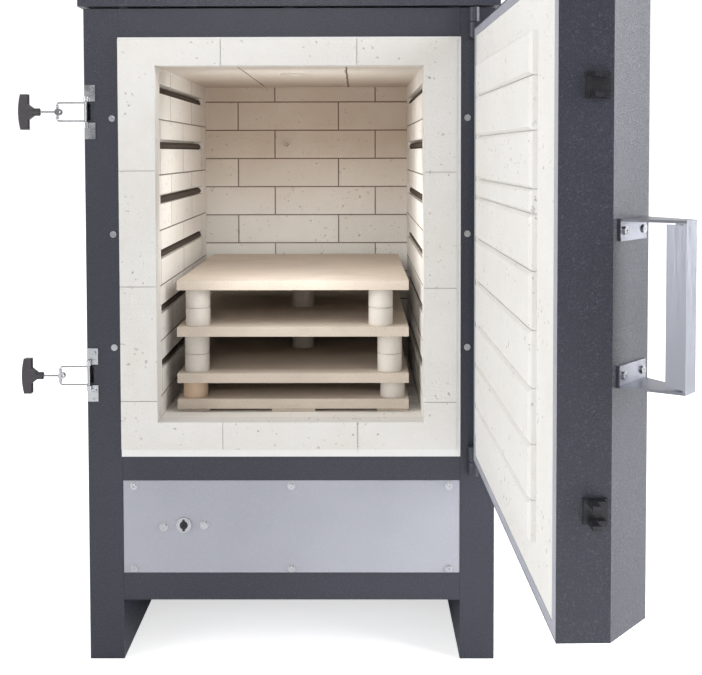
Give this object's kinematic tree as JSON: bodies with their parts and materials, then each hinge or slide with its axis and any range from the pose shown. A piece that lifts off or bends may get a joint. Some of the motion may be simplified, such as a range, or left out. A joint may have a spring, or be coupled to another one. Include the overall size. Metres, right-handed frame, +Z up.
{
  "type": "front loading chamber kiln",
  "caption": "Front-loading electric chamber kiln: folded sheet case, brick-lined chamber with shelves on props, swinging bevelled door with plug, wire latches and lock.",
  "frame": {"origin": "on the floor, at the centre of the four anchor holes in the foot runners", "axes": "+X to the right seen from the front, +Y from the front to the back, +Z up"},
  "size_m": [0.9275, 1.4175, 1.208],
  "materials": {
    "case_paint": "textured powder coat",
    "silver_paint": "satin powder coat",
    "zinc": "bright zinc plate",
    "handle_metal": "brushed",
    "black_metal": "satin black",
    "black_plastic": "moulded, satin",
    "firebrick": "porous insulating brick",
    "fibre": "soft white fibre",
    "element_wire": "oxidised resistance wire",
    "sheath": "dense sheath",
    "kiln_shelf": "dense cast ceramic",
    "kiln_prop": "dense pressed ceramic"
  },
  "bodies": {
    "kiln": {"left_side_panel": "case_paint", "right_side_panel": "case_paint", "left_front_post": "case_paint", "right_front_post": "case_paint", "top_rail": "case_paint", "mid_rail": "case_paint", "bottom_rail": "case_paint", "lower_front_panel": "silver_paint", "front_screws": "zinc", "lock_bezel": "zinc", "left_runner": "case_paint", "right_runner": "case_paint", "base_tray": "silver_paint", "hearth_deck": "silver_paint", "back_panel": "case_paint", "top_cover": "case_paint", "cover_screws": "zinc", "hearth_bricks": "firebrick", "roof_bricks": "firebrick", "back_wall_bricks": "firebrick", "left_wall_bricks": "firebrick", "right_wall_bricks": "firebrick", "lintel_bricks": "firebrick", "sill_bricks": "firebrick", "left_jamb_bricks": "firebrick", "right_jamb_bricks": "firebrick", "fibre_strips": "fibre", "insulation_boards": "fibre", "left_elements": "element_wire", "right_elements": "element_wire", "element_terminals": "zinc", "terminal_cover": "case_paint", "cable_gland": "black_plastic", "thermocouple": "sheath", "bottom_spacers": "kiln_shelf", "hinge_barrels": "case_paint", "latch_brackets": "zinc"},
    "door": {"door_casing": "case_paint", "door_trim": "silver_paint", "handle_screws": "zinc", "door_border": "firebrick", "door_plug": "firebrick", "door_barrels": "case_paint", "door_keepers": "black_metal", "door_handle": "handle_metal"},
    "lock": {"lock_barrel": "black_metal"},
    "upper_bail": {"upper_bail": "zinc"},
    "lower_bail": {"lower_bail": "zinc"},
    "upper_rod": {"upper_rod": "zinc"},
    "lower_rod": {"lower_rod": "zinc"},
    "upper_grip": {"upper_grip": "black_plastic"},
    "lower_grip": {"lower_grip": "black_plastic"},
    "bung": {"vent_bung": "firebrick"},
    "bottom_tier": {"shelf_bottom": "kiln_shelf"},
    "low_tier": {"props_low": "kiln_prop", "shelf_low": "kiln_shelf"},
    "mid_tier": {"props_mid": "kiln_prop", "shelf_mid": "kiln_shelf"},
    "top_tier": {"props_top": "kiln_prop", "shelf_top": "kiln_shelf"}
  },
  "joints": [
    {"name": "door_swing", "type": "hinge", "parent": "kiln", "child": "door", "pos_m": [0.313, -0.36, 0.72], "axis": [0, 0, 1], "range_deg": [-91.2, 20]},
    {"name": "lock_turn", "type": "hinge", "parent": "kiln", "child": "lock", "pos_m": [-0.186, -0.352, 0.235], "axis": [0, 1, 0], "range_deg": [0, 90]},
    {"name": "upper_bail_swing", "type": "hinge", "parent": "kiln", "child": "upper_bail", "pos_m": [-0.3455, -0.356, 0.948], "axis": [0, 0, 1], "range_deg": [-30, 90]},
    {"name": "upper_rod_swing", "type": "hinge", "parent": "upper_bail", "child": "upper_rod", "pos_m": [-0.395, -0.356, 0.948], "axis": [0, 0, 1], "range_deg": [-50, 15]},
    {"name": "upper_grip_turn", "type": "hinge", "parent": "upper_rod", "child": "upper_grip", "pos_m": [-0.4384, -0.356, 0.948], "axis": [1, 0, 0], "continuous": true},
    {"name": "lower_bail_swing", "type": "hinge", "parent": "kiln", "child": "lower_bail", "pos_m": [-0.3455, -0.356, 0.497], "axis": [0, 0, 1], "range_deg": [-30, 90]},
    {"name": "lower_rod_swing", "type": "hinge", "parent": "lower_bail", "child": "lower_rod", "pos_m": [-0.395, -0.356, 0.497], "axis": [0, 0, 1], "range_deg": [-50, 15]},
    {"name": "lower_grip_turn", "type": "hinge", "parent": "lower_rod", "child": "lower_grip", "pos_m": [-0.4384, -0.356, 0.497], "axis": [1, 0, 0], "continuous": true},
    {"name": "bung_lift", "type": "slide", "parent": "kiln", "child": "bung", "axis": [0, 0, 1], "range_m": [0, 0.06]},
    {"name": "bottom_tier_lift", "type": "slide", "parent": "kiln", "child": "bottom_tier", "axis": [0, 0, 1], "range_m": [0, 0.02]},
    {"name": "low_tier_lift", "type": "slide", "parent": "bottom_tier", "child": "low_tier", "axis": [0, 0, 1], "range_m": [0, 0.02]},
    {"name": "mid_tier_lift", "type": "slide", "parent": "low_tier", "child": "mid_tier", "axis": [0, 0, 1], "range_m": [0, 0.02]},
    {"name": "top_tier_lift", "type": "slide", "parent": "mid_tier", "child": "top_tier", "axis": [0, 0, 1], "range_m": [0, 0.02]}
  ]
}
